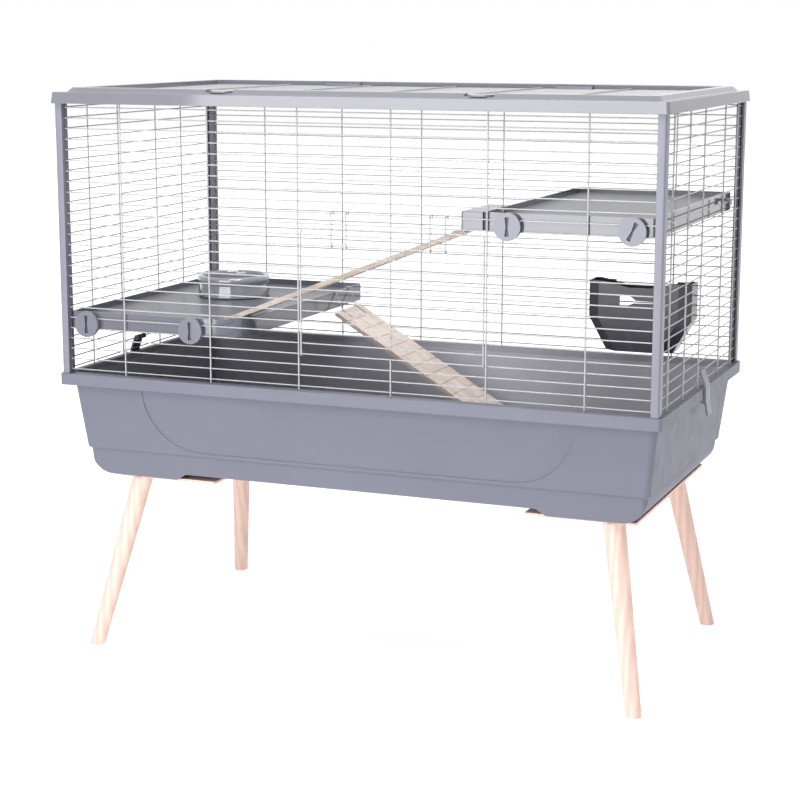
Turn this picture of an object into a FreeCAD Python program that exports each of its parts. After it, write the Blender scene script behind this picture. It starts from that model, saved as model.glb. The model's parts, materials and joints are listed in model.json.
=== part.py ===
import FreeCAD, Part
import math
import os
from types import SimpleNamespace

import Sketcher
from FreeCAD import Placement, Rotation, Vector

DOC = FreeCAD.newDocument("rodent_cage")
SHEET = DOC.addObject("Spreadsheet::Sheet", "Sizes")

# Driving sizes in millimetres, counts and degrees where the name says so
SIZES = {
    "lid_length": 1000.0,
    "lid_width": 542.0,
    "lid_skirt": 18.0,
    "lid_draft": 2.0,
    "lid_corner": 5.0,
    "lid_skin": 2.6,
    "ridge_inset": 14.0,
    "ridge_slope": 8.0,
    "ridge_height": 7.0,
    "opening_inset": 37.0,
    "leg_height": 288.0,
    "leg_top_diameter": 35.0,
    "leg_foot_diameter": 24.5,
    "leg_inset": 25.3,
    "board_thickness": 4.0,
    "board_width": 176.0,
    "board_setback": 9.5,
    "stud_diameter": 8.0,
    "stud_depth": 30.0,
    "screw_diameter": 4.0,
    "tub_depth": 172.0,
    "tub_wall": 3.5,
    "tub_corner": 10.0,
    "wall_inset_x": 8.4,
    "wall_inset_y": 21.0,
    "wall_lean_x": 14.2,
    "wall_lean_y": 16.2,
    "step_height": 45.0,
    "step_inset": 4.4,
    "base_inset_x": 5.9,
    "base_inset_y": 9.3,
    "floor_level": 13.0,
    "relief_margin": 155.5,
    "relief_height": 10.0,
    "scoop_margin": 127.6,
    "scoop_round": 100.0,
    "scoop_depth": 1.5,
    "rim_reach": 1.5,
    "rim_setback": 1.0,
    "rim_corner": 6.0,
    "rim_height": 18.6,
    "rim_skin": 3.0,
    "wire_height": 434.5,
    "post_width": 13.0,
    "post_depth": 18.0,
    "post_inset_x": 3.0,
    "post_inset_y": 3.0,
    "wire_setback": 4.5,
    "groove_depth": 6.0,
    "wire_diameter": 2.0,
    "upright_diameter": 2.5,
    "first_row": 7.2,
    "wire_pitch": 16.85,
    "row_count": 26.0,
    "hatch_gap": 6.0,
    "hatch_drop": 2.0,
    "frame_wire": 3.0,
    "hatch_pitch": 16.85,
    "cross_pitch": 156.0,
    "latch_offset": 212.0,
    "clip_length": 41.0,
    "bracket_length": 64.0,
    "door_gap": 4.2,
    "door_rise": 9.3,
    "hook_spacing": 24.5,
    "hook_prong": 13.0,
    "tray_height": 29.0,
    "tray_back_gap": 25.5,
    "tray_wall": 3.0,
    "tray_floor_drop": 9.0,
    "tray_floor": 2.5,
    "tray_corner": 64.0,
    "left_tray_width": 303.5,
    "left_tray_level": 73.0,
    "right_tray_width": 261.5,
    "right_tray_level": 258.5,
    "peg_diameter": 9.5,
    "peg_height": 17.0,
    "landing_length": 35.0,
    "landing_width": 125.0,
    "knob_diameter": 41.6,
    "knob_thickness": 6.5,
    "shaft_diameter": 6.0,
    "bowl_diameter": 126.0,
    "bowl_height": 38.0,
    "bowl_x": 133.5,
    "bowl_y": 62.0,
    "rack_inset": 145.5,
    "rack_width": 178.0,
    "rack_foot": 116.0,
    "rack_height": 118.0,
    "rack_depth": 55.0,
    "rack_wall": 2.5,
    "rack_trim": 20.0,
    "rack_bevel": 14.0,
    "ramp_thickness": 7.0,
    "lower_ramp_width": 108.0,
    "lower_ramp_length": 433.0,
    "lower_ramp_lead": 27.0,
    "lower_ramp_sink": 18.8,
    "lower_ramp_inset": 88.0,
    "upper_ramp_width": 90.0,
    "upper_ramp_length": 433.0,
    "upper_ramp_lead": 8.0,
    "upper_ramp_sink": 1.0,
    "upper_ramp_inset": 71.5,
    "hook_wire": 2.0,
    "clip_width": 28.0,
    "fit": 0.3,
}
for line, (name, number) in enumerate(SIZES.items(), 1):
    SHEET.set(f"A{line}", name)
    SHEET.set(f"B{line}", str(number))
    SHEET.setAlias(f"B{line}", name)
DOC.recompute()


class Dim:
    """A size: its expression on the sheet and its present value."""

    def __init__(self, text, value):
        self.text = text
        self.value = value

    def join(self, sign, other, value):
        return Dim(f"({self.text} {sign} {other.text})", value)

    def __add__(self, other):
        other = dim(other)
        return self.join("+", other, self.value + other.value)

    def __sub__(self, other):
        other = dim(other)
        return self.join("-", other, self.value - other.value)

    def __mul__(self, other):
        other = dim(other)
        return self.join("*", other, self.value * other.value)

    def __truediv__(self, other):
        other = dim(other)
        return self.join("/", other, self.value / other.value)

    def __rsub__(self, other):
        return dim(other) - self

    def __neg__(self):
        return self * -1

    __radd__ = __add__
    __rmul__ = __mul__


def dim(value):
    if isinstance(value, Dim):
        return value
    return Dim(f"({float(value):.6f})", float(value))


S = SimpleNamespace(**{name: Dim(f"Sizes.{name}", number) for name, number in SIZES.items()})
PARTS = {}


def bind(item, prop, value):
    item.setExpression(prop, dim(value).text)


def place(item, x=0, y=0, z=0, rotation=None):
    """Put an item at sheet-driven coordinates, turned first."""
    if rotation:
        item.Placement = Placement(Vector(), rotation)
    for axis, value in zip("xyz", (x, y, z)):
        if isinstance(value, Dim) or value:
            bind(item, f"Placement.Base.{axis}", value)
    return item


def keep(label, item):
    item.Label = label
    PARTS[label] = item
    return item


def new_body(label):
    return keep(label, DOC.addObject("PartDesign::Body", label))


def base_plane(body, role):
    return next(f for f in body.Origin.OriginFeatures if f.Role == role)


def sketch(body, role, level=0):
    """An empty sketch on one of the body's planes, moved along its normal."""
    drawn = body.newObject("Sketcher::SketchObject", f"{body.Name}_sketch")
    drawn.AttachmentSupport = [(base_plane(body, role), "")]
    drawn.MapMode = "FlatFace"
    if isinstance(level, Dim) or level:
        bind(drawn, "AttachmentOffset.Base.z", level)
    return drawn


def hold(drawn, kind, geometry, position, value):
    """Tie one coordinate of a sketch point to a size."""
    if not isinstance(value, Dim) and value == 0:
        axis = -2 if kind == "DistanceX" else -1
        drawn.addConstraint(Sketcher.Constraint("PointOnObject", geometry, position, axis))
        return
    value = dim(value)
    index = drawn.addConstraint(Sketcher.Constraint(kind, -1, 1, geometry, position, value.value))
    drawn.setExpression(f"Constraints[{index}]", value.text)


def pin(drawn, geometry, position, point):
    hold(drawn, "DistanceX", geometry, position, point[0])
    hold(drawn, "DistanceY", geometry, position, point[1])


def radius(drawn, geometry, value):
    value = dim(value)
    index = drawn.addConstraint(Sketcher.Constraint("Radius", geometry, value.value))
    drawn.setExpression(f"Constraints[{index}]", value.text)


def polygon(drawn, points):
    """A closed outline through the given points."""
    first = drawn.GeometryCount
    count = len(points)
    spots = [Vector(dim(x).value, dim(y).value, 0) for x, y in points]
    for i in range(count):
        drawn.addGeometry(Part.LineSegment(spots[i], spots[(i + 1) % count]))
    for i in range(count):
        drawn.addConstraint(Sketcher.Constraint("Coincident", first + i, 2, first + (i + 1) % count, 1))
    for i, point in enumerate(points):
        pin(drawn, first + i, 1, point)
    return drawn


def circle(drawn, centre, size):
    spot = Vector(dim(centre[0]).value, dim(centre[1]).value, 0)
    index = drawn.addGeometry(Part.Circle(spot, Vector(0, 0, 1), dim(size).value))
    pin(drawn, index, 3, centre)
    radius(drawn, index, size)
    return drawn


def rounded(drawn, x0, y0, x1, y1, radii):
    """A rectangle with rounded corners, radii counter-clockwise from the low corner."""
    first = drawn.GeometryCount
    ax, ay, bx, by = (dim(v).value for v in (x0, y0, x1, y1))
    r = [dim(v).value for v in radii]
    centres = [(ax + r[0], ay + r[0]), (bx - r[1], ay + r[1]), (bx - r[2], by - r[2]), (ax + r[3], by - r[3])]
    lines = [
        ((centres[0][0], ay), (centres[1][0], ay)),
        ((bx, centres[1][1]), (bx, centres[2][1])),
        ((centres[2][0], by), (centres[3][0], by)),
        ((ax, centres[3][1]), (ax, centres[0][1])),
    ]
    for i, (start, end) in enumerate(lines):
        drawn.addGeometry(Part.LineSegment(Vector(*start, 0), Vector(*end, 0)))
        corner = (i + 1) % 4
        arc = Part.Circle(Vector(*centres[corner], 0), Vector(0, 0, 1), r[corner])
        turn = math.pi / 2 * (i - 1)
        drawn.addGeometry(Part.ArcOfCircle(arc, turn, turn + math.pi / 2))
    for i in range(4):
        line, arc, after = first + 2 * i, first + 2 * i + 1, first + (2 * i + 2) % 8
        drawn.addConstraint(Sketcher.Constraint("Tangent", line, 2, arc, 1))
        drawn.addConstraint(Sketcher.Constraint("Tangent", arc, 2, after, 1))
        drawn.addConstraint(Sketcher.Constraint("Vertical" if i % 2 else "Horizontal", line))
        radius(drawn, arc, radii[(i + 1) % 4])
    hold(drawn, "DistanceY", first, 1, y0)
    hold(drawn, "DistanceX", first + 2, 1, x1)
    hold(drawn, "DistanceY", first + 4, 1, y1)
    hold(drawn, "DistanceX", first + 6, 1, x0)
    return drawn


def centred(drawn, length, width, corner):
    """A rounded rectangle about the sketch's origin."""
    return rounded(drawn, length / -2, width / -2, length / 2, width / 2, [corner] * 4)


def feature(body, kind, drawn, length=None, reverse=False, both=False):
    made = body.newObject(f"PartDesign::{kind}", f"{body.Name}_{kind.lower()}")
    made.Profile = drawn
    made.Reversed = reverse
    if both:
        made.SideType = "Symmetric"
    if length is None:
        made.Type = "ThroughAll"
    else:
        bind(made, "Length", length)
    return made


def pad(body, drawn, length, reverse=False, both=False):
    return feature(body, "Pad", drawn, length, reverse, both)


def pocket(body, drawn, length=None, reverse=False, both=False):
    return feature(body, "Pocket", drawn, length, reverse, both)


def loft(body, kind, sections):
    made = body.newObject(f"PartDesign::{kind}Loft", f"{body.Name}_loft")
    made.Profile = sections[0]
    made.Sections = sections[1:]
    made.Ruled = True
    return made


TURN_TO = {"x": Rotation(Vector(0, 1, 0), 90), "y": Rotation(Vector(1, 0, 0), -90), "z": None}


def rod(axis, start, length, diameter):
    """A round bar from a start point along one axis."""
    bar = DOC.addObject("Part::Cylinder", "rod")
    bind(bar, "Radius", diameter / 2)
    bind(bar, "Height", length)
    return place(bar, *start, rotation=TURN_TO[axis])


def group(label, members):
    made = DOC.addObject("Part::Compound", label)
    made.Links = members
    return keep(label, made)


def joined(name, members):
    made = DOC.addObject("Part::MultiFuse", name)
    made.Shapes = members
    return made


def without(name, base, tool):
    made = DOC.addObject("Part::Cut", name)
    made.Base = base
    made.Tool = tool
    return made


# Outer sizes of the tub, all from the lid's
WALL_LENGTH = S.lid_length - S.wall_inset_x * 2
WALL_WIDTH = S.lid_width - S.wall_inset_y * 2
STEP_LENGTH = WALL_LENGTH - S.wall_lean_x * 2
STEP_WIDTH = WALL_WIDTH - S.wall_lean_y * 2
BASE_LENGTH = STEP_LENGTH - S.base_inset_x * 2
BASE_WIDTH = STEP_WIDTH - S.base_inset_y * 2
RIM_LENGTH = S.lid_length + S.rim_reach * 2
RIM_WIDTH = S.lid_width - S.rim_setback * 2
UPRIGHT_PITCH = S.lid_length * 0.1532

# Levels and lines the pieces share
FOOT = S.leg_height + S.board_thickness
RIM_TOP = FOOT + S.tub_depth
LID_BOTTOM = RIM_TOP + S.wire_height
LID_TOP = LID_BOTTOM + S.lid_skirt
POST_X = S.lid_length / 2 - S.post_inset_x
POST_Y = S.lid_width / 2 - S.post_inset_y
WIRE_X = POST_X - S.wire_setback
WIRE_Y = POST_Y - S.post_depth / 2
UPRIGHT_STEP = (S.wire_diameter + S.upright_diameter) / 2 + 0.05
ROWS = int(SIZES["row_count"])

# Side in x and y, distance of the leg's top from the base's end, splay in x and y
LEGS = {
    "leg_front_left": (-1, -1, 80.8, 73.3, 38.8),
    "leg_front_right": (1, -1, 56.3, 48.8, 42.8),
    "leg_back_left": (-1, 1, 63.1, 34.6, 58.8),
    "leg_back_right": (1, 1, 66.5, 57.0, 54.8),
}
# Side, and distance of the board's outer edge from the base's end
BOARDS = {"leg_board_left": (-1, 45.5), "leg_board_right": (1, 17.5)}
BOARD_LENGTH = BASE_WIDTH - S.board_setback * 2
SCREW_SPOTS = [(S.board_width * u, BOARD_LENGTH * v) for u in (-0.284, 0.284) for v in (-0.349, 0.349)]


def board_centre(label):
    side, inset = BOARDS[label]
    return (BASE_LENGTH / 2 - inset - S.board_width / 2) * side


def leg_ends(label):
    """A leg's top on its board and its foot on the floor."""
    side_x, side_y, inset, splay_x, splay_y = LEGS[label]
    x, y = BASE_LENGTH / 2 - inset, BASE_WIDTH / 2 - S.leg_inset
    return (x * side_x, y * side_y), ((x + splay_x) * side_x, (y + splay_y) * side_y)


def row_level(number):
    return S.first_row + S.wire_pitch * number


def make_tub():
    tub = new_body("tub")
    lower = S.step_inset * 2
    low_step = S.step_height - S.step_inset
    sections = [
        (BASE_LENGTH, BASE_WIDTH, 0),
        (STEP_LENGTH - lower, STEP_WIDTH - lower, low_step),
        (STEP_LENGTH, STEP_WIDTH, S.step_height),
        (WALL_LENGTH, WALL_WIDTH, S.tub_depth),
    ]
    outlines = [centred(sketch(tub, "XY_Plane", z), x, y, S.tub_corner) for x, y, z in sections]
    loft(tub, "Additive", outlines)

    # Rounded lower ends
    ends = sketch(tub, "XZ_Plane")
    side = STEP_LENGTH / 2 - S.step_inset
    for sign in (-1, 1):
        inner = (side - low_step) * sign
        outer = (side + 40) * sign
        first = ends.GeometryCount
        spots = [(side * sign, low_step), (outer, low_step), (outer, -10), (inner, -10), (inner, 0)]
        vectors = [Vector(dim(x).value, dim(y).value, 0) for x, y in spots]
        for start, end in zip(vectors, vectors[1:]):
            ends.addGeometry(Part.LineSegment(start, end))
        middle = Vector(inner.value, low_step.value, 0)
        arc = Part.Circle(middle, Vector(0, 0, 1), low_step.value)
        angles = (-math.pi / 2, 0) if sign > 0 else (math.pi, 1.5 * math.pi)
        ends.addGeometry(Part.ArcOfCircle(arc, *angles))
        for i in range(3):
            ends.addConstraint(Sketcher.Constraint("Coincident", first + i, 2, first + i + 1, 1))
            pin(ends, first + i + 1, 1, spots[i + 1])
        low, high = (1, 2) if sign > 0 else (2, 1)
        ends.addConstraint(Sketcher.Constraint("Coincident", first + 3, 2, first + 4, low))
        ends.addConstraint(Sketcher.Constraint("Coincident", first, 1, first + 4, high))
        pin(ends, first + 3, 2, spots[4])
        ends.addConstraint(Sketcher.Constraint("Horizontal", first))
        pin(ends, first + 4, 3, (inner, low_step))
    pocket(tub, ends, both=True)

    rim = sketch(tub, "XY_Plane", S.tub_depth - S.rim_height)
    centred(rim, RIM_LENGTH, RIM_WIDTH, S.rim_corner)
    pad(tub, rim, S.rim_height)

    # Hollow inside, floor rounded up towards the walls
    thick = S.tub_wall * 2
    hollow = [
        (BASE_LENGTH - 41, BASE_WIDTH - 13, S.floor_level),
        (STEP_LENGTH - lower - thick, STEP_WIDTH - lower - thick, S.step_height),
        (WALL_LENGTH - thick, WALL_WIDTH - thick, S.tub_depth),
    ]
    inside = [centred(sketch(tub, "XY_Plane", z), x, y, S.tub_corner - 4) for x, y, z in hollow]
    loft(tub, "Subtractive", inside)

    wells = sketch(tub, "XY_Plane", S.floor_level)
    run = BASE_LENGTH / 2 - S.relief_margin
    well_start = run + 6
    well_end = BASE_LENGTH / 2 - 48
    for low, high in ((-well_end, -well_start), (well_start, well_end)):
        rounded(wells, low, BASE_WIDTH / -2 + 14, high, BASE_WIDTH / 2 - 14, [8] * 4)
    pocket(tub, wells, S.floor_level - 4)

    relief = sketch(tub, "XZ_Plane")
    polygon(relief, [(-run, -1), (run, -1), (run - 17.6, S.relief_height), (17.6 - run, S.relief_height)])
    pocket(tub, relief, both=True)

    lip = sketch(tub, "XY_Plane", S.tub_depth - S.rim_height)
    centred(lip, RIM_LENGTH - S.rim_skin * 2, RIM_WIDTH - S.rim_skin * 2, S.rim_corner - S.rim_skin)
    centred(lip, WALL_LENGTH + 6, WALL_WIDTH + 6, S.tub_corner + 1)
    pocket(tub, lip, S.rim_height - S.rim_skin, reverse=True)

    rebate = sketch(tub, "XY_Plane", S.tub_depth)
    centred(rebate, WALL_LENGTH - thick + 5, WALL_WIDTH - thick + 5, S.tub_corner - 2)
    pocket(tub, rebate, 9)

    screws = sketch(tub, "XY_Plane")
    for label in BOARDS:
        for x, y in SCREW_SPOTS:
            circle(screws, (board_centre(label) + x, y), S.screw_diameter / 2 + 0.1)
    pocket(tub, screws, 3, reverse=True)

    # Shallow scoop pressed into the long walls
    rise = SIZES["tub_depth"] - SIZES["step_height"]
    lean = math.degrees(math.atan2(SIZES["wall_lean_y"], rise))
    scoop = sketch(tub, "XZ_Plane")
    scoop.AttachmentOffset = Placement(Vector(), Rotation(Vector(1, 0, 0), lean))
    bind(scoop, "AttachmentOffset.Base.y", S.step_height)
    bind(scoop, "AttachmentOffset.Base.z", STEP_WIDTH / 2)
    top = S.tub_depth - S.rim_height - S.step_height - 0.5
    half = WALL_LENGTH / 2 - S.scoop_margin
    rounded(scoop, -half, 4, half, top, [S.scoop_round, S.scoop_round, 1, 1])
    pressed = pocket(tub, scoop, S.scoop_depth)
    twin = tub.newObject("PartDesign::Mirrored", "tub_mirrored")
    twin.Originals = [pressed]
    twin.MirrorPlane = (base_plane(tub, "XZ_Plane"), [""])
    tub.Tip = twin
    place(tub, z=FOOT)


def make_stand():
    for label, (side, _) in BOARDS.items():
        board = new_body(label)
        centre = board_centre(label)
        outline = sketch(board, "XY_Plane")
        centred(outline, S.board_width, BOARD_LENGTH, 4)
        for x, y in SCREW_SPOTS:
            circle(outline, (x, y), S.screw_diameter / 2 + 0.1)
        for leg_label, leg in LEGS.items():
            if leg[0] == side:
                top, _ = leg_ends(leg_label)
                circle(outline, (top[0] - centre, top[1]), S.stud_diameter / 2 + 0.1)
        pad(board, outline, S.board_thickness)
        place(board, x=centre, z=S.leg_height)

    studs = []
    for label in LEGS:
        top, foot = leg_ends(label)
        leg = new_body(label)
        ends = [
            circle(sketch(leg, "XY_Plane"), foot, S.leg_foot_diameter / 2),
            circle(sketch(leg, "XY_Plane", S.leg_height), top, S.leg_top_diameter / 2),
        ]
        loft(leg, "Additive", ends)
        socket = circle(sketch(leg, "XY_Plane", S.leg_height), top, S.stud_diameter / 2 + 0.1)
        pocket(leg, socket, S.stud_depth)
        start = (*top, S.leg_height - S.stud_depth + 1)
        studs.append(rod("z", start, S.board_thickness + S.stud_depth - 1.5, S.stud_diameter))
    group("leg_studs", studs)

    screws = []
    for label in BOARDS:
        for x, y in SCREW_SPOTS:
            spot = (board_centre(label) + x, y)
            head = rod("z", (*spot, S.leg_height - 2.5), 2.5, S.screw_diameter * 2.2)
            shank = rod("z", (*spot, S.leg_height - 1), S.board_thickness + 3.5, S.screw_diameter)
            screws.append(joined("screw", [head, shank]))
    group("board_screws", screws)


def make_posts():
    mid = S.post_depth / 2
    half = S.wire_diameter / 2 + S.fit
    centre = S.wire_setback
    deep = S.post_width - S.groove_depth
    end = S.post_depth - S.groove_depth
    outline = [
        (3, 0), (S.post_width, 0), (S.post_width, mid - half), (deep, mid - half), (deep, mid + half),
        (S.post_width, mid + half), (S.post_width, S.post_depth), (centre + half, S.post_depth),
        (centre + half, end), (centre - half, end), (centre - half, S.post_depth), (0, S.post_depth),
        (0, 3), (0.9, 0.9),
    ]
    for label, sx, sy in (
        ("post_front_left", -1, -1), ("post_front_right", 1, -1),
        ("post_back_left", -1, 1), ("post_back_right", 1, 1),
    ):
        post = new_body(label)
        points = [((POST_X - u) * sx, (POST_Y - v) * sy) for u, v in outline]
        pad(post, polygon(sketch(post, "XY_Plane"), points), S.wire_height + S.lid_skirt - S.lid_skin)
        place(post, z=RIM_TOP)


# The doorway: rows between its hinge row and the first full row above it
DOOR_ROWS = range(4, 15)
HINGE_ROW = 3
DOOR_LEFT = UPRIGHT_PITCH * -0.5
DOOR_RIGHT = UPRIGHT_PITCH * 1.5


def make_grid(label, half, uprights, rotation, x=0, y=0, doorway=False):
    """A welded wire panel in its own plane, uprights on the outer side."""
    wires = []
    for number in range(ROWS):
        level = row_level(number)
        runs = [(-half, half * 2)]
        if doorway and number in DOOR_ROWS:
            edge = S.upright_diameter / 2
            runs = [(-half, half + DOOR_LEFT + edge), (DOOR_RIGHT - edge, half - DOOR_RIGHT + edge)]
        wires += [rod("x", (start, 0, level), length, S.wire_diameter) for start, length in runs]
    for offset, foot, head in uprights:
        wires.append(rod("z", (offset, -UPRIGHT_STEP, foot), head - foot, S.upright_diameter))
    place(group(label, wires), x, y, RIM_TOP, rotation)


def make_panels():
    across = [UPRIGHT_PITCH * k for k in (-2.5, -1.5, -0.5, 0.5, 1.5, 2.5)]
    long_half = POST_X - S.post_width + S.groove_depth - 0.5
    short_half = POST_Y - S.post_depth + S.groove_depth - 0.5
    foot, head = dim(0.5), S.wire_height + 10
    full = [(x, foot, head) for x in across]
    middle = across[3]
    above_door = (middle, row_level(DOOR_ROWS.stop) - 1, head)
    below_door = (middle, foot, row_level(HINGE_ROW) + 1)
    front = full[:3] + [above_door, below_door] + full[4:]
    turn = Vector(0, 0, 1)
    make_grid("front_panel", long_half, front, Rotation(turn, 0), y=-WIRE_Y, doorway=True)
    make_grid("back_panel", long_half, full, Rotation(turn, 180), y=WIRE_Y)
    right = [(S.lid_width * share, foot, head) for share in (-0.393, -0.212, -0.035, 0.221, 0.393)]
    left = [(S.lid_width * share, foot, head) for share in (0.317, 0.138, -0.1, -0.271)]
    make_grid("right_panel", short_half, right, Rotation(turn, 90), x=WIRE_X)
    make_grid("left_panel", short_half, left, Rotation(turn, -90), x=-WIRE_X)


def make_door():
    """The wire door, hung on the hinge row by a loop at each side."""
    bottom = row_level(HINGE_ROW)
    lowest, highest = row_level(DOOR_ROWS[0]), row_level(DOOR_ROWS[-1])
    rail = highest + S.door_rise
    thick = S.upright_diameter
    left, right = DOOR_LEFT + S.door_gap, DOOR_RIGHT - S.door_gap
    start, length = left - thick / 2, right - left + thick
    wires = [rod("x", (start, 0, row_level(k)), length, S.wire_diameter) for k in DOOR_ROWS]
    for x in (left, right):
        eye = rod("x", (x - thick * 0.43, 0, bottom), thick * 0.86, S.wire_diameter + S.fit * 2 + thick * 2)
        hole = rod("x", (x - thick, 0, bottom), thick * 2, S.wire_diameter + S.fit * 2)
        stem = rod("z", (x, -UPRIGHT_STEP, bottom + 2.2), rail - bottom - 2.2 + thick / 2, thick)
        wires.append(joined("upright", [stem, without("loop", eye, hole)]))
    wires.append(rod("x", (start, S.fit, rail), length, thick))
    middle = (UPRIGHT_PITCH / 2, -UPRIGHT_STEP, lowest - 2)
    wires.append(rod("z", middle, rail - lowest + 2 + thick / 2, thick))
    place(group("front_door", wires), y=-WIRE_Y, z=RIM_TOP)

    # Hooks turn on the last row but one and reach over the second row above the door
    pivot = row_level(DOOR_ROWS[-2])
    wire = S.hook_wire
    over = S.wire_pitch * 3 + (S.wire_diameter + wire) / 2 + S.fit
    step = (S.wire_diameter + wire) / 2 + S.fit
    for label, share in (("door_hook_left", -0.057), ("door_hook_right", 0.993)):
        centre = UPRIGHT_PITCH * share
        pieces = []
        for side in (-0.5, 0.5):
            x = centre + S.hook_spacing * side
            eye = rod("x", (x - wire * 0.43, 0, 0), wire * 0.86, S.wire_diameter + S.fit * 2 + wire * 2)
            hole = rod("x", (x - wire, 0, 0), wire * 2, S.wire_diameter + S.fit * 2)
            leg = rod("z", (x, -step, 1), over, wire)
            prong = rod("y", (x, -step - wire * 0.4, over), S.hook_prong, wire * 0.92)
            tip = rod("z", (x, S.hook_prong - step - wire * 0.9, over - 6), 6.2, wire * 0.84)
            pieces += [without("loop", eye, hole), leg, prong, tip]
        tie = rod("x", (centre - S.hook_spacing / 2, -step, 4.5), S.hook_spacing, wire * 0.92)
        hook = keep(label, joined(label, pieces + [tie]))
        place(hook, y=-WIRE_Y, z=RIM_TOP + pivot)


def make_lid():
    lid = new_body("lid_frame")

    def centred_at(level, inset, corner):
        drawn = sketch(lid, "XY_Plane", level)
        return centred(drawn, S.lid_length - inset * 2, S.lid_width - inset * 2, corner)

    corner = S.lid_corner
    loft(lid, "Additive", [centred_at(0, -S.lid_draft, corner), centred_at(S.lid_skirt, dim(0), corner)])
    ridge_foot = centred_at(S.lid_skirt, S.ridge_inset, 14)
    ridge_edge = centred_at(S.lid_skirt + S.ridge_height, S.ridge_inset + S.ridge_slope, 10)
    loft(lid, "Additive", [ridge_foot, ridge_edge])
    opening = centred_at(S.lid_skirt + S.ridge_height, S.opening_inset, 5)
    pocket(lid, opening)
    channel = centred_at(0, S.lid_skin, S.lid_corner - S.lid_skin)
    wall_inset = S.opening_inset - S.lid_skin
    centred(channel, S.lid_length - wall_inset * 2, S.lid_width - wall_inset * 2, 8)
    pocket(lid, channel, S.lid_skirt - S.lid_skin, reverse=True)
    notch = sketch(lid, "XY_Plane", S.lid_skirt + S.ridge_height)
    reach = S.clip_length / 2 + 2.5
    low = S.lid_width / -2 + S.ridge_inset - 2
    high = S.lid_width / -2 + S.opening_inset + 2
    for sign in (-1, 1):
        left, right = S.latch_offset * sign - reach, S.latch_offset * sign + reach
        polygon(notch, [(left, low), (right, low), (right, high), (left, high)])
    pocket(lid, notch, 5)
    place(lid, z=LID_BOTTOM)


HATCH_Y = S.lid_width / 2 - S.opening_inset - S.hatch_gap
HATCH_Z = LID_TOP - S.hatch_drop


def make_hatch():
    """The wire roof, turning about its own rear frame wire."""
    half_x = S.lid_length / 2 - S.opening_inset - S.hatch_gap - S.frame_wire / 2
    frame = S.frame_wire
    long_run = half_x * 2 + frame
    wires = [rod("x", (-half_x - frame / 2, y, 0), long_run, frame) for y in (dim(0), HATCH_Y * -2)]
    side_run = HATCH_Y * 2 - frame - 0.1
    wires += [rod("y", (x, -(HATCH_Y * 2) + frame / 2 + 0.05, 0), side_run, frame) for x in (-half_x, half_x)]
    inner = half_x * 2 - frame - 0.1
    count = int(2 * HATCH_Y.value / SIZES["hatch_pitch"])
    for k in range(1, count + 1):
        y = HATCH_Y * -2 * (k / (count + 1))
        wires.append(rod("x", (-half_x + frame / 2 + 0.05, y, 0), inner, S.wire_diameter))
    over = (frame + S.upright_diameter) / 2 + 0.05
    cross_run = HATCH_Y * 2 + 2
    for k in (-2, -1, 0, 1, 2):
        wires.append(rod("y", (S.cross_pitch * k, 1 - cross_run, over), cross_run, S.upright_diameter))
    place(group("roof_hatch", wires), y=HATCH_Y, z=HATCH_Z)

    # Brackets hold the rear wire, clips the front one
    bore = frame / 2 + S.fit
    plate_height = S.ridge_height + S.hatch_drop + 5
    brackets = []
    for sign in (-1, 1):
        start = S.latch_offset * sign - S.bracket_length / 2
        barrel = rod("x", (start, 0, 0), S.bracket_length, frame + 8)
        hole = rod("x", (start - 1, 0, 0), S.bracket_length + 2, bore * 2)
        plate = DOC.addObject("Part::Box", "plate")
        for prop, value in (("Length", S.bracket_length), ("Width", S.hatch_gap - 2.5), ("Height", plate_height)):
            bind(plate, prop, value)
        place(plate, start, 2.5, -5.5)
        brackets.append(without("bracket", joined("solid", [barrel, plate]), hole))
    place(group("hatch_brackets", brackets), y=HATCH_Y, z=HATCH_Z)

    reach = S.opening_inset - S.ridge_inset + S.hatch_gap
    seat = S.ridge_height - 5 + S.hatch_drop + 0.4
    for label, sign in (("hatch_clip_left", -1), ("hatch_clip_right", 1)):
        clip = new_body(label)
        pad(clip, circle(sketch(clip, "YZ_Plane"), (0, 0), frame / 2 + 3.5), 30, both=True)
        outer, inner = 0.5 - S.hatch_gap, 3.5 - S.hatch_gap
        riser = [(outer, 0), (inner, 0), (inner, seat + 1), (outer, seat + 1)]
        pad(clip, polygon(sketch(clip, "YZ_Plane"), riser), 30, both=True)
        tab = sketch(clip, "XY_Plane", seat)
        half = S.clip_length / 2
        rounded(tab, -half, -reach, half, inner, [12, 12, 4, 4])
        pad(clip, tab, 2.6)
        pocket(clip, circle(sketch(clip, "YZ_Plane"), (0, 0), bore), both=True)
        place(clip, S.latch_offset * sign, -HATCH_Y, HATCH_Z)


# The trays reach the side panels; their knob shafts pass between the front rows
TRAY_FRONT = -WIRE_Y + S.wire_diameter / 2 + 0.5
TRAY_BACK = -TRAY_FRONT - S.tray_back_gap
TRAY_EDGE = POST_X - S.post_width - 0.5
LEFT_INNER = S.left_tray_width - TRAY_EDGE
RIGHT_INNER = TRAY_EDGE - S.right_tray_width
LEFT_KNOB = row_level(4.47)
RIGHT_KNOB = row_level(15.47)


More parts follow.
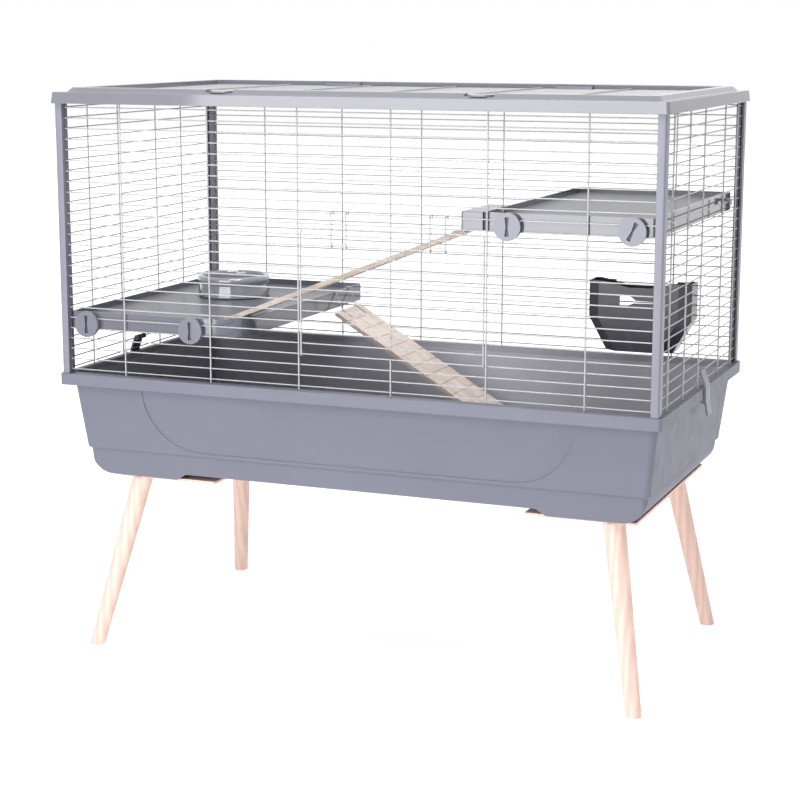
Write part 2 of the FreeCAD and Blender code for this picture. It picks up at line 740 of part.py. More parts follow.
def make_tray(label, low, high, level, corner, knob_spots, knob_drop):
    """A shelf tray with a skirt, one front corner with its own radius."""
    tray = new_body(label)
    front, back = TRAY_FRONT, TRAY_BACK

    def outline(height, inset):
        small = dim(6) - inset * 0.7
        radii = [small, corner - inset, small, small]
        drawn = sketch(tray, "XY_Plane", height)
        return rounded(drawn, low + inset, front + inset, high - inset, back - inset, radii)

    pad(tray, outline(0, dim(0)), S.tray_height)
    pocket(tray, outline(S.tray_height, S.tray_wall), S.tray_floor_drop)
    hollow = S.tray_height - S.tray_floor_drop - S.tray_floor
    pocket(tray, outline(0, S.tray_wall), hollow, reverse=True)
    holes = sketch(tray, "XZ_Plane", -front + 1)
    for x in knob_spots:
        circle(holes, (x, knob_drop), S.shaft_diameter / 2 + S.fit)
    pocket(tray, holes, S.tray_wall + 2)
    place(tray, z=RIM_TOP + level)
    return tray


def make_knob(label, x, z, turned):
    knob = new_body(label)
    face = S.wire_diameter / 2 + 0.6
    pad(knob, circle(sketch(knob, "XZ_Plane", face), (0, 0), S.knob_diameter / 2), S.knob_thickness)
    stem = S.wire_diameter / 2 + 0.5 + S.tray_wall + 0.4
    shaft = circle(sketch(knob, "XZ_Plane", -stem - 4), (0, 0), S.shaft_diameter / 2)
    pad(knob, shaft, face + stem + 5)
    lug = sketch(knob, "XZ_Plane", -stem - 4)
    polygon(lug, [(-4.8, -2), (4.8, -2), (4.8, 2), (-4.8, 2)])
    pad(knob, lug, 4)
    grip = sketch(knob, "XZ_Plane", face + S.knob_thickness)
    polygon(grip, [(-3.2, -14), (3.2, -14), (1.5, 0), (3.2, 14), (-3.2, 14), (-1.5, 0)])
    pocket(knob, grip, 3)
    place(knob, x, -WIRE_Y, RIM_TOP + z, Rotation(Vector(0, 1, 0), turned))


def make_shelves():
    left_spots = (32.5 - TRAY_EDGE, LEFT_INNER - 83.5)
    right_spots = (RIGHT_INNER + 40, TRAY_EDGE - 33)
    left, right = S.left_tray_level, S.right_tray_level
    make_tray("left_tray", -TRAY_EDGE, LEFT_INNER, left, S.tray_corner, left_spots, LEFT_KNOB - left)
    tray = make_tray("right_tray", RIGHT_INNER, TRAY_EDGE, right, dim(6), right_spots, RIGHT_KNOB - right)
    peg = sketch(tray, "XY_Plane", S.tray_height - S.tray_floor_drop)
    circle(peg, (RIGHT_INNER + 28, TRAY_FRONT + 12.5), S.peg_diameter / 2)
    pad(tray, peg, S.peg_height)
    make_knob("knob_left_outer", left_spots[0], LEFT_KNOB, 0)
    make_knob("knob_left_inner", left_spots[1], LEFT_KNOB, 0)
    make_knob("knob_right_inner", right_spots[0], RIGHT_KNOB, 0)
    make_knob("knob_right_outer", right_spots[1], RIGHT_KNOB, 25)

    landing = new_body("ramp_landing")
    front, back = TRAY_FRONT, TRAY_FRONT + S.landing_width
    low, high = RIGHT_INNER - S.landing_length, RIGHT_INNER
    wall = S.tray_wall
    outer = sketch(landing, "XY_Plane")
    rounded(outer, low, front, high, back, [4, 1, 1, 4])
    pad(landing, outer, S.tray_height)
    inner = sketch(landing, "XY_Plane")
    rounded(inner, low + wall, front + wall, high - wall, back - wall, [2] * 4)
    pocket(landing, inner, S.tray_height - wall, reverse=True)
    window = sketch(landing, "YZ_Plane", low - 1)
    polygon(window, [(front + 12, 6), (back - 12, 6), (back - 12, 22), (front + 12, 22)])
    pocket(landing, window, wall + 2, reverse=True)
    place(landing, z=RIM_TOP + S.right_tray_level)

    # Rear hooks carry the trays on the side panels
    reach = WIRE_X - TRAY_EDGE
    top = S.wire_diameter / 2 + S.fit
    out = top + 2.7
    profile = [
        (-reach, -6), (2 - reach, -6), (2 - reach, top), (top, top),
        (top, -6), (out, -6), (out, top + 3), (-reach, top + 3),
    ]
    for label, sign, row, inset in (("left_tray_hook", -1, 5, 32), ("right_tray_hook", 1, 16, 57)):
        hook = new_body(label)
        points = [(x * sign, z) for x, z in profile]
        pad(hook, polygon(sketch(hook, "XZ_Plane"), points), 16, both=True)
        place(hook, WIRE_X * sign, TRAY_BACK - inset, RIM_TOP + row_level(row))


def make_bowl():
    bowl = new_body("bowl")
    rim, top = S.bowl_diameter / 2, S.bowl_height
    profile = sketch(bowl, "XZ_Plane")
    polygon(profile, [
        (0, 0), (rim - 8, 0), (rim - 4, 3), (rim - 3.5, 10), (rim, top - 10), (rim - 1, top - 2),
        (rim - 4, top), (rim - 7, top - 1.5), (rim - 11, 12), (rim - 20, 5.5), (0, 5),
    ])
    spun = bowl.newObject("PartDesign::Revolution", "bowl_revolution")
    spun.Profile = profile
    spun.ReferenceAxis = (profile, ["V_Axis"])
    spun.Angle = 360
    level = RIM_TOP + S.left_tray_level + S.tray_height - S.tray_floor_drop
    place(bowl, S.bowl_x - TRAY_EDGE, S.bowl_y, level)


def make_rack():
    """A hay bin hung on the back panel, its sides bevelled and a feeding slot through it."""
    rack = new_body("hay_rack")
    half, foot, top, wall = S.rack_width / 2, S.rack_foot / 2, S.rack_height, S.rack_wall
    bend = top * 0.47
    back = WIRE_Y - S.wire_diameter / 2 - 0.5
    front = S.rack_depth - back

    def outer(level, trim):
        side, low = half - trim, foot - trim
        dip = top - 9
        return polygon(sketch(rack, "XZ_Plane", level), [
            (-low, 0), (low, 0), (side, bend), (side, top), (side - 12, top), (side - 54, dip),
            (54 - side, dip), (12 - side, top), (-side, top), (-side, bend),
        ])

    def inner(level, trim):
        side, low = half - wall - trim, foot - wall - trim
        return polygon(sketch(rack, "XZ_Plane", level), [
            (-low, wall), (low, wall), (side, bend), (side, top + 5), (-side, top + 5), (-side, bend),
        ])

    edge = front - S.rack_bevel
    loft(rack, "Additive", [outer(-back, 0), outer(edge, 0), outer(front, S.rack_trim)])
    loft(rack, "Subtractive", [inner(wall - back, 0), inner(edge - 1, 0), inner(front - wall, S.rack_trim)])
    slot = sketch(rack, "XZ_Plane", front + 1)
    polygon(slot, [
        (-32, 79), (-18, 79), (-8, 83), (60, 84.5), (60, 86.5), (-4, 87.5), (-14, 95), (-32, 95.5),
    ])
    pocket(rack, slot, wall + 2)
    window = sketch(rack, "XZ_Plane", wall - back + 1)
    polygon(window, [(-50, 67), (50, 67), (50, 92), (-50, 92)])
    pocket(rack, window, wall + 2)

    # Lugs reach over a row of the back panel
    base = 14
    rise = row_level(7) - base
    clear = S.wire_diameter / 2 + S.fit
    near = back - wall
    out = WIRE_Y + clear
    profile = [
        (near, rise - 8), (back, rise - 8), (back, rise + clear), (out, rise + clear), (out, rise - 6),
        (out + 2.5, rise - 6), (out + 2.5, rise + clear + 3), (near, rise + clear + 3),
    ]
    for x in (-60, 60):
        lug = sketch(rack, "YZ_Plane", x)
        pad(rack, polygon(lug, profile), 12, both=True)
    place(rack, TRAY_EDGE - S.rack_inset, 0, RIM_TOP + base)


HOOK_RING = 3.4


def make_ramp(label, length, width, lead, sink, drop, direction, x, y, z):
    """A grooved board and its two hooks, turning about the edge they hang on."""
    low_side = sink.value + SIZES["ramp_thickness"]
    full = length.value + lead.value
    slope = math.degrees(math.asin(drop.value / math.hypot(full, low_side)) - math.atan2(low_side, full))
    tilt = Rotation(Vector(0, 1, 0), slope)
    if direction < 0:
        tilt = Rotation(Vector(0, 0, 1), 180).multiply(tilt)
    board = new_body(label)
    outline = sketch(board, "XY_Plane", -sink - S.ramp_thickness)
    rounded(outline, lead, width / -2, length + lead, width / 2, [3] * 4)
    pad(board, outline, S.ramp_thickness)
    cut = sketch(board, "XZ_Plane")
    start, end, low, high = lead + 28, lead + 30.5, -1.2 - sink, 2 - sink
    polygon(cut, [(start, high), (end, high), (end, low), (start, low)])
    first = pocket(board, cut, both=True)
    rows = board.newObject("PartDesign::LinearPattern", f"{label}_pattern")
    rows.Originals = [first]
    rows.Direction = (base_plane(board, "X_Axis"), [""])
    spacing = 28
    rows.Occurrences = int((length.value - 50) / spacing)
    rows.Length = spacing * (rows.Occurrences - 1)
    board.Tip = rows
    place(board, x, y, z, tilt)

    hooks = []
    wire = S.hook_wire
    fall = sink - wire / 2
    for side in (-30, 30):
        bend = DOC.addObject("Part::Torus", "bend")
        bind(bend, "Radius1", HOOK_RING)
        bind(bend, "Radius2", wire / 2)
        bend.Angle3 = 185
        bend.Placement = Placement(Vector(0, side, 0), Rotation(Vector(1, 0, 0), 90))
        pieces = [bend]
        if fall.value > 1:
            run = lead + 3 - HOOK_RING
            reach = math.hypot(run.value, fall.value)
            leg = rod("z", (0, 0, 0), dim(reach), wire * 0.94)
            turn = math.degrees(math.atan2(run.value, -fall.value))
            pieces.append(place(leg, dim(HOOK_RING), side, 0, Rotation(Vector(0, 1, 0), turn)))
            pieces.append(rod("x", (lead + 2.4, side, -fall), 22, wire))
        else:
            pieces.append(rod("x", (HOOK_RING - 0.6, side, 0), 30, wire))
        hooks.append(joined("hook", pieces))
    place(group(f"{label}_hooks", hooks), x, y, z, tilt)


def make_ramps():
    edge = 1.5
    left_top = RIM_TOP + S.left_tray_level + S.tray_height
    axis = left_top - edge
    floor = FOOT + S.floor_level
    make_ramp(
        "lower_ramp", S.lower_ramp_length, S.lower_ramp_width, S.lower_ramp_lead, S.lower_ramp_sink,
        axis - floor - S.fit, 1,
        LEFT_INNER - S.tray_wall / 2, TRAY_BACK - S.lower_ramp_inset, axis,
    )
    sill = RIM_TOP + S.right_tray_level + 6 - edge
    tray_floor = left_top - S.tray_floor_drop
    start = RIGHT_INNER - S.landing_length + S.tray_wall / 2
    make_ramp(
        "upper_ramp", S.upper_ramp_length, S.upper_ramp_width, S.upper_ramp_lead, S.upper_ramp_sink,
        sill - tray_floor - S.fit, -1,
        start, TRAY_FRONT + S.upper_ramp_inset, sill,
    )


def make_rim_clips():
    """Levers that turn on a panel wire and catch under the rim."""
    reach = RIM_LENGTH / 2 - WIRE_X
    over = row_level(1)
    under = over + S.rim_height
    for label, sign, y in (("rim_clip_left", -1, -20), ("rim_clip_right", 1, 10)):
        clip = new_body(label)
        pad(clip, circle(sketch(clip, "XZ_Plane"), (0, 0), 4.3), S.clip_width, both=True)
        outline = [
            (2.6, -3.2), (reach + 0.5, 1 - over), (reach + 0.5, -0.4 - under), (reach - 5.5, -1.9 - under),
            (reach - 5.5, -5.4 - under), (reach + 1.5, -6.9 - under), (reach + 5, -25 - under),
            (reach + 8, -25 - under), (reach + 4, -1 - under), (reach + 3.5, 2.5 - over), (3.6, 2.2),
        ]
        points = [(x * sign, z) for x, z in outline]
        pad(clip, polygon(sketch(clip, "XZ_Plane"), points), S.clip_width, both=True)
        pocket(clip, circle(sketch(clip, "XZ_Plane"), (0, 0), S.wire_diameter / 2 + S.fit), both=True)
        fingers = sketch(clip, "XY_Plane", 6)
        for offset in (-7, 7):
            low, high = (-6, 3) if sign > 0 else (-3, 6)
            polygon(fingers, [(low, offset - 2), (high, offset - 2), (high, offset + 2), (low, offset + 2)])
        pocket(clip, fingers, 14)
        place(clip, WIRE_X * sign, y, RIM_TOP + over)


make_tub()
make_stand()
make_posts()
make_panels()
make_door()
make_lid()
make_hatch()
make_shelves()
make_bowl()
make_rack()
make_ramps()
make_rim_clips()
DOC.recompute()

for item in DOC.Objects:
    faults = [state for state in item.State if state in ("Invalid", "Error")]
    if faults:
        raise RuntimeError(f"{item.Name} is {faults}")
os.makedirs("parts", exist_ok=True)
for label, item in PARTS.items():
    shape = item.Shape
    if shape.isNull() or not shape.isValid() or not shape.Solids:
        raise RuntimeError(f"{label} has no valid solid")
    shape.exportStep(f"parts/{label}.step")
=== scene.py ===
import json
import math

import bmesh
import bpy
from mathutils import Matrix, Vector


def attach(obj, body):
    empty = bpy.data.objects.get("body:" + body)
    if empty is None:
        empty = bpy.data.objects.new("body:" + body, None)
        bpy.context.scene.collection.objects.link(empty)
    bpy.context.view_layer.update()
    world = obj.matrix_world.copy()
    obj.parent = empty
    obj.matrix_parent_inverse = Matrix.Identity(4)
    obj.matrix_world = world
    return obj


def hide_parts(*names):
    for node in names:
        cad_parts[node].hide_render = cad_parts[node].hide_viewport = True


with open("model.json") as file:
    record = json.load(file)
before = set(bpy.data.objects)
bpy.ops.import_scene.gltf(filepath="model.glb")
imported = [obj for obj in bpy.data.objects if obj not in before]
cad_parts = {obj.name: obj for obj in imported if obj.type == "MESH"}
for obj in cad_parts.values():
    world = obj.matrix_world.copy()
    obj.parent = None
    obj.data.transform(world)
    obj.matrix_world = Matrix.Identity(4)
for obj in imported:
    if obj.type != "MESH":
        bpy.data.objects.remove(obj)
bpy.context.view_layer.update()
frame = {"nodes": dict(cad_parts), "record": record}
NODES = frame["nodes"]
BODIES = frame["record"]["behaviour"]["bodies"]
BODY_OF = {node: body for body, members in BODIES.items() for node in members}
SCENE = bpy.context.scene

# Fineness of the meshes, with lengths in metres

SEAM_GAP = 2e-6
FLAT_ANGLE = math.radians(0.6)
ROUNDED_ANGLE = math.radians(28)
SHARP_ANGLE = math.radians(32)
ROUNDING_STEPS = 3
WIRE_SIDES = 12
BEND_STEPS = 6
LOOP_DEGREES = 15
SPUN_STEPS = 96


# Materials

def set_inputs(tree, node, inputs):
    """Links each socket to the node's input of that name or number, or sets a plain value there."""
    for name, value in inputs.items():
        if isinstance(value, bpy.types.NodeSocket):
            tree.links.new(value, node.inputs[name])
        else:
            node.inputs[name].default_value = value


def add(tree, kind, inputs, **settings):
    """A shader node with its settings and inputs."""
    made = tree.nodes.new(f"ShaderNode{kind}")
    for name, value in settings.items():
        setattr(made, name, value)
    set_inputs(tree, made, inputs)
    return made


def start(name):
    """A new material, its node tree, its main shader and the object's own coordinates."""
    material = bpy.data.materials.new(name)
    material.use_nodes = True
    tree = material.node_tree
    place = add(tree, "TexCoord", {}).outputs["Object"]
    return material, tree, tree.nodes["Principled BSDF"], place


def noise(tree, place, scale, detail, rough=0.5):
    inputs = {"Vector": place, "Scale": scale, "Detail": detail, "Roughness": rough}
    return add(tree, "TexNoise", inputs).outputs["Fac"]


def shades(tree, factor, stops):
    """A colour ramp through (position, colour) stops."""
    ramp = add(tree, "ValToRGB", {"Fac": factor})
    points = ramp.color_ramp.elements
    while len(points) < len(stops):
        points.new(0.5)
    for point, (position, colour) in zip(points, stops):
        point.position = position
        point.color = (*colour, 1)
    return ramp.outputs["Color"]


def ranged(tree, value, low, high, begin=0.0, end=1.0):
    """A value taken from the range begin to end into the range low to high."""
    inputs = {"Value": value, "From Min": begin, "From Max": end, "To Min": low, "To Max": high}
    return add(tree, "MapRange", inputs).outputs["Result"]


def relief(tree, height, strength, depth=0.0002, **settings):
    """Normals bumped by a texture, its depth in metres."""
    inputs = {"Height": height, "Strength": strength, "Distance": depth}
    return add(tree, "Bump", inputs, **settings).outputs["Normal"]


def plastic(name, dark, light, rough, grain, clear=0.0, shine=0.5):
    """Moulded plastic: faint cloudy colour, fine grain and flow marks in its gloss."""
    material, tree, shader, place = start(name)
    cloud = noise(tree, place, scale=6.0, detail=5.0, rough=0.6)
    fine = noise(tree, place, scale=1100.0, detail=3.0)
    flow = noise(tree, place, scale=35.0, detail=2.0)
    both = add(tree, "Math", {0: fine, 1: flow}, operation="ADD").outputs["Value"]
    set_inputs(tree, shader, {
        "Base Color": shades(tree, cloud, [(0.3, dark), (0.7, light)]),
        "Roughness": ranged(tree, both, rough * 0.8, rough * 1.2, begin=0.6, end=1.4),
        "Normal": relief(tree, fine, grain),
        "Specular IOR Level": shine,
        "Coat Weight": clear,
        "Coat Roughness": 0.06,
    })
    return material


def coated_wire(name, low, high, rough):
    """Wire with a thin pale coating, a little uneven."""
    material, tree, shader, place = start(name)
    spots = noise(tree, place, scale=240.0, detail=3.0)
    set_inputs(tree, shader, {
        "Base Color": shades(tree, spots, [(0.35, low), (0.65, high)]),
        "Roughness": ranged(tree, spots, rough * 0.7, rough * 1.4),
        "Normal": relief(tree, spots, 0.1),
    })
    return material


def timber(name, dark, light, grain_axis, rough, rings=26.0):
    """Wood with long bands of grain and fine pores."""
    material, tree, shader, place = start(name)
    stretch = [1.0, 1.0, 1.0]
    stretch["xyz".index(grain_axis)] = 0.06
    along = add(tree, "Mapping", {"Vector": place, "Scale": stretch}).outputs["Vector"]
    wave = {"Vector": along, "Scale": rings, "Distortion": 5.0, "Detail": 3.0, "Detail Scale": 2.0}
    bands = add(tree, "TexWave", wave).outputs["Fac"]
    pores = noise(tree, along, scale=700.0, detail=4.0)
    mixed = add(tree, "Mix", {0: 0.45, 2: bands, 3: pores}).outputs[0]
    set_inputs(tree, shader, {
        "Base Color": shades(tree, mixed, [(0.25, dark), (0.75, light)]),
        "Roughness": ranged(tree, pores, rough * 0.85, rough * 1.15),
        "Normal": relief(tree, pores, 0.25),
    })
    return material


def lattice(name, bar, hole_shade, pitch):
    """A tray floor moulded as a fine square lattice, its pitch in metres; the holes between the bars are
    painted dark as shade.
    """
    material, tree, shader, place = start(name)
    # Painted shade: the darker colour of the holes stands in for the shade in and below them; the lattice
    # pattern itself is real.
    cells = add(tree, "TexBrick", {
        "Vector": place, "Color1": (*bar, 1), "Color2": (*[c * 0.92 for c in bar], 1), "Mortar": (*hole_shade, 1),
        "Scale": 1 / pitch, "Mortar Size": 0.14, "Mortar Smooth": 0.4, "Brick Width": 1.0, "Row Height": 1.0,
    }, offset=0.0)
    set_inputs(tree, shader, {
        "Base Color": cells.outputs["Color"],
        "Roughness": ranged(tree, cells.outputs["Fac"], 0.22, 0.45),
        "Normal": relief(tree, cells.outputs["Fac"], 0.5, depth=0.0006, invert=True),
    })
    return material


def metal(name, colour, rough):
    """Bare metal with faint spots."""
    material, tree, shader, place = start(name)
    spots = noise(tree, place, scale=400.0, detail=3.0)
    darker = [c * 0.8 for c in colour]
    set_inputs(tree, shader, {
        "Base Color": shades(tree, spots, [(0.3, darker), (0.7, colour)]),
        "Roughness": ranged(tree, spots, rough * 0.7, rough * 1.3),
        "Metallic": 1.0,
    })
    return material


TUB = plastic("tub_plastic", (0.118, 0.122, 0.162), (0.128, 0.132, 0.174), 0.50, 0.25)
GLOSS = plastic("glossy_lavender", (0.092, 0.094, 0.120), (0.100, 0.102, 0.130), 0.08, 0.02, shine=0.75)
LID = plastic("lid_plastic", (0.152, 0.152, 0.178), (0.164, 0.164, 0.191), 0.07, 0.02, shine=0.62)
# Painted light: the tub's inside is the tub's own plastic made lighter, standing in for the light that falls
# into the tub.
PAINTED_LIGHT_PAN = plastic("tub_inner_painted_light", (0.282, 0.278, 0.320), (0.302, 0.298, 0.342), 0.40, 0.20)
POST = plastic("post_plastic", (0.162, 0.160, 0.204), (0.175, 0.173, 0.220), 0.36, 0.12)
# Painted shade: the posts' faces towards the inside of the cage are made darker to stand in for the shade
# they lie in.
PAINTED_SHADE_POST = plastic("post_inner_painted_shade", (0.100, 0.098, 0.122), (0.112, 0.110, 0.136), 0.42, 0.12)
KNOB = plastic("knob_plastic", (0.122, 0.126, 0.158), (0.132, 0.136, 0.170), 0.14, 0.05)
# Painted shade: the recessed slot on each knob is darkened to stand in for the shade inside it.
PAINTED_SHADE_SLOT = plastic("slot_painted_shade", (0.040, 0.044, 0.062), (0.050, 0.054, 0.075), 0.45, 0.15)
SMOKE = plastic(
    "bowl_plastic", (0.210, 0.213, 0.245), (0.232, 0.236, 0.270), 0.06, 0.01, clear=1.0, shine=0.7,
)
DARK = plastic("dark_plastic", (0.036, 0.036, 0.051), (0.046, 0.046, 0.065), 0.24, 0.06)
SIEVE = lattice("tray_lattice", (0.21, 0.217, 0.245), (0.055, 0.057, 0.070), 0.004)
WIRE = coated_wire("white_wire", (0.30, 0.297, 0.31), (0.36, 0.357, 0.37), 0.30)
STEEL = metal("zinc_steel", (0.58, 0.58, 0.56), 0.34)
BEECH = timber("pale_beech", (0.63, 0.44, 0.375), (0.715, 0.525, 0.460), "z", 0.48)
RAMP = timber("ramp_wood", (0.57, 0.485, 0.440), (0.69, 0.600, 0.550), "x", 0.62)
EDGE = timber("ramp_edge_wood", (0.32, 0.265, 0.225), (0.40, 0.335, 0.290), "x", 0.66, rings=60.0)


# Mesh tools

def level_normals(bm):
    """Corner normals weighted by face area, so that large faces shade flat."""
    limit = math.cos(SHARP_ANGLE)
    bm.normal_update()
    sizes = {face: face.normal * face.calc_area() for face in bm.faces}
    normals = []
    for face in bm.faces:
        for vert in face.verts:
            total = Vector()
            for other in vert.link_faces:
                if other is face or other.normal.dot(face.normal) > limit:
                    total += sizes[other]
            normals.append(total.normalized() if total.length > 0 else face.normal)
    return normals


def show(name, bm, materials, node):
    """A finished mesh that stands in for a CAD node and rides on its body."""
    bmesh.ops.recalc_face_normals(bm, faces=bm.faces)
    mesh = bpy.data.meshes.new(name)
    bm.to_mesh(mesh)
    normals = level_normals(bm)
    bm.free()
    for material in materials:
        mesh.materials.append(material)
    mesh.shade_smooth()
    mesh.set_sharp_from_angle(angle=SHARP_ANGLE)
    mesh.normals_split_custom_set(normals)
    piece = bpy.data.objects.new(name, mesh)
    SCENE.collection.objects.link(piece)
    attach(piece, BODY_OF[node])
    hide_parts(node)


def box_round(points):
    """Lowest and highest corner of the box round some points."""
    return [Vector([pick(p[k] for p in points) for k in range(3)]) for pick in (min, max)]


def extent(node):
    """Lowest and highest corner of a CAD node."""
    return box_round([vert.co for vert in NODES[node].data.vertices])


def welded(node):
    """A CAD node's mesh with the seams between its faces closed."""
    bm = bmesh.new()
    bm.from_mesh(NODES[node].data)
    bmesh.ops.remove_doubles(bm, verts=bm.verts, dist=SEAM_GAP)
    return bm


def solids(node):
    """Lowest and highest corner of each separate solid in a CAD node."""
    bm = welded(node)
    bm.verts.ensure_lookup_table()
    seen = set()
    boxes = []
    for first in bm.verts:
        if first.index in seen:
            continue
        seen.add(first.index)
        queue, points = [first], []
        while queue:
            vert = queue.pop()
            points.append(vert.co.copy())
            for edge in vert.link_edges:
                other = edge.other_vert(vert)
                if other.index not in seen:
                    seen.add(other.index)
                    queue.append(other)
        boxes.append(box_round(points))
    bm.free()
    return boxes


def refined(node, material, rounding, second=None, where=None):
    """The CAD shape with its edges rounded; faces that pass a test get a second material."""
    bm = welded(node)
    bmesh.ops.dissolve_limit(bm, angle_limit=FLAT_ANGLE, verts=bm.verts, edges=bm.edges)
    edges = [e for e in bm.edges if len(e.link_faces) == 2 and e.calc_face_angle(0) > ROUNDED_ANGLE]
    if rounding and edges:
        bmesh.ops.bevel(
            bm, geom=edges, offset=rounding, offset_type="OFFSET", segments=ROUNDING_STEPS, profile=0.5,
            affect="EDGES", clamp_overlap=True,
        )
    materials = [material]
    if second:
        materials.append(second)
        bm.normal_update()
        low, high = extent(node)
        for face in bm.faces:
            if where(face, low, high):
                face.material_index = 1
    show(f"{node}_shape", bm, materials, node)


def ring(bm, centre, side, up, radius):
    """Points round a wire's section."""
    turns = [2 * math.pi * k / WIRE_SIDES for k in range(WIRE_SIDES)]
    return [bm.verts.new(centre + side * (radius * math.cos(t)) + up * (radius * math.sin(t))) for t in turns]


def bridge(bm, rings):
    """Side faces between rings of points, with a cap on each end."""
    for a, b in zip(rings, rings[1:]):
        for k in range(WIRE_SIDES):
            after = (k + 1) % WIRE_SIDES
            bm.faces.new((a[k], a[after], b[after], b[k]))
    bm.faces.new(list(reversed(rings[0])))
    bm.faces.new(rings[-1])


def add_rod(bm, begin, end, radius):
    """A straight wire with softened ends."""
    axis = (end - begin).normalized()
    side = axis.orthogonal().normalized()
    up = axis.cross(side)
    length = (end - begin).length
    soft, tip = radius * 0.4, radius * 0.6
    steps = [(0, tip), (soft, radius), (length - soft, radius), (length, tip)]
    bridge(bm, [ring(bm, begin + axis * along, side, up, size) for along, size in steps])


def filleted(points, bend):
    """A path through the points with its corners rounded to a bend radius."""
    straight = 1e-3
    most = 0.48
    points = [Vector(p) for p in points]
    path = [points[0]]
    for before, corner, after in zip(points, points[1:], points[2:]):
        into, out = corner - before, after - corner
        angle = into.angle(out, 0)
        if angle < straight:
            path.append(corner)
            continue
        reach = min(bend * math.tan(angle / 2), into.length * most, out.length * most)
        start_at, end_at = corner - into.normalized() * reach, corner + out.normalized() * reach
        for k in range(BEND_STEPS + 1):
            s = k / BEND_STEPS
            path.append(start_at.lerp(corner, s).lerp(corner.lerp(end_at, s), s))
    path.append(points[-1])
    return path


def loop(centre, radius, turn):
    """A path round an eye that lies across x, from its front by a turn in degrees."""
    angles = [math.radians(180 + LOOP_DEGREES * k) for k in range(turn // LOOP_DEGREES + 1)]
    return [centre + Vector((0, radius * math.cos(a), radius * math.sin(a))) for a in angles]


def sweep(bm, path, radius):
    """A round wire along a path, a little thinner at its ends."""
    tip = radius * 0.75
    last = len(path) - 1
    rings = []
    side = None
    for k, point in enumerate(path):
        axis = (path[min(k + 1, last)] - path[max(k - 1, 0)]).normalized()
        across = axis.orthogonal() if side is None else side - axis * side.dot(axis)
        side = across.normalized()
        rings.append(ring(bm, point, side, axis.cross(side), tip if k in (0, last) else radius))
    bridge(bm, rings)


def rods(node):
    """Round wires in place of a CAD node's cylinders."""
    bm = bmesh.new()
    for low, high in solids(node):
        size = high - low
        axis = max(range(3), key=lambda k: size[k])
        middle = (low + high) / 2
        reach = Vector([size[k] / 2 if k == axis else 0 for k in range(3)])
        radius = sum(size[k] for k in range(3) if k != axis) / 4
        add_rod(bm, middle - reach, middle + reach, radius)
    show(f"{node}_wires", bm, [WIRE], node)


def spun(node, material, profile, centre):
    """A turned shape from (radius, height) points in millimetres, from the base's edge to the floor's."""
    bm = bmesh.new()
    columns = []
    for k in range(SPUN_STEPS):
        turn = 2 * math.pi * k / SPUN_STEPS
        out = Vector((math.cos(turn), math.sin(turn), 0))
        spots = [centre + out * (r / 1000) + Vector((0, 0, z / 1000)) for r, z in profile]
        columns.append([bm.verts.new(spot) for spot in spots])
    for a, b in zip(columns, columns[1:] + columns[:1]):
        for i in range(len(profile) - 1):
            bm.faces.new((a[i], b[i], b[i + 1], a[i + 1]))
    for end in (0, -1):
        bm.faces.new([column[end] for column in columns])
    show(f"{node}_shape", bm, [material], node)


# Tests for a second material, with lengths in metres

def faces_in(face, low, high):
    """A post's face towards the middle of the cage; these faces get the painted shade."""
    least = 0.3
    middle = (low + high) / 2
    return any(face.normal[k] * middle[k] < -least * abs(middle[k]) for k in (0, 1))


def in_slot(face, low, high):
    """A face in the slot across a knob's front; these faces are painted dark as the shade in the recess."""
    reach = 0.015
    nearest, deepest = 0.0004, 0.0052
    middle = (low + high) / 2
    spot = face.calc_center_median()
    off_centre = math.hypot(spot.x - middle.x, spot.z - middle.z)
    return off_centre < reach and nearest < spot.y - low.y < deepest


def in_pan(face, low, high):
    """A face inside the tub, between its base and its rim, that looks up or towards the middle; these faces
    get the painted light.
    """
    base, rim = 0.014, 0.004
    level = 0.5
    spot = face.calc_center_median()
    middle = (low + high) / 2
    towards = Vector((middle.x - spot.x, middle.y - spot.y, 0))
    turned_in = face.normal.z > level or face.normal.dot(towards) > 0
    return low.z + base < spot.z < high.z - rim and turned_in


def on_edge(face, low, high):
    """A ramp's cut long edge."""
    sideways = 0.9
    return abs(face.normal.y) > sideways


def on_floor(face, low, high):
    """The level floor inside a tray."""
    level = 0.99
    height, slack = 0.020, 0.0006
    return face.normal.z > level and abs(face.calc_center_median().z - low.z - height) < slack


# Pieces

def door_wire():
    """The door's wires, its frame bent from one wire that ends in two hinge loops."""
    shortest = 0.1
    eye_radius, eye_turn = 0.00255, 300
    eye_ahead, eye_height = 0.0003, 0.0038
    stem_start, stem_drop, bend = 0.004, 0.018, 0.008
    boxes = solids("front_door")
    rows = sorted((box for box in boxes if box[1].x - box[0].x > shortest), key=lambda box: box[0].z)
    stems = sorted((box for box in boxes if box[1].z - box[0].z > shortest), key=lambda box: box[0].x)
    low, high = rows[-1]
    rail = (low + high) / 2
    bm = bmesh.new()
    for low, high in rows[:-1]:
        middle = (low + high) / 2
        half = Vector(((high.x - low.x) / 2, 0, 0))
        add_rod(bm, middle - half, middle + half, (high.z - low.z) / 2)
    low, high = stems[1]
    radius = (high.x - low.x) / 2
    middle = (low + high) / 2
    add_rod(bm, Vector((*middle.xy, low.z)), Vector((*middle.xy, high.z - radius)), radius)
    sides = []
    for low, high in (stems[0], stems[-1]):
        x = (low.x + high.x) / 2
        eye = loop(Vector((x, rail.y - eye_ahead, low.z + eye_height)), eye_radius, eye_turn)
        stem = [
            Vector((x, middle.y, eye[0].z + stem_start)),
            Vector((x, middle.y, rail.z - stem_drop)),
            Vector((x, rail.y, rail.z)),
        ]
        sides.append((eye, stem))
    (left_eye, left_stem), (right_eye, right_stem) = sides
    frame_wire = filleted(left_stem + right_stem[::-1], bend)
    sweep(bm, left_eye[::-1] + frame_wire + right_eye, radius)
    show("front_door_wires", bm, [WIRE], "front_door")


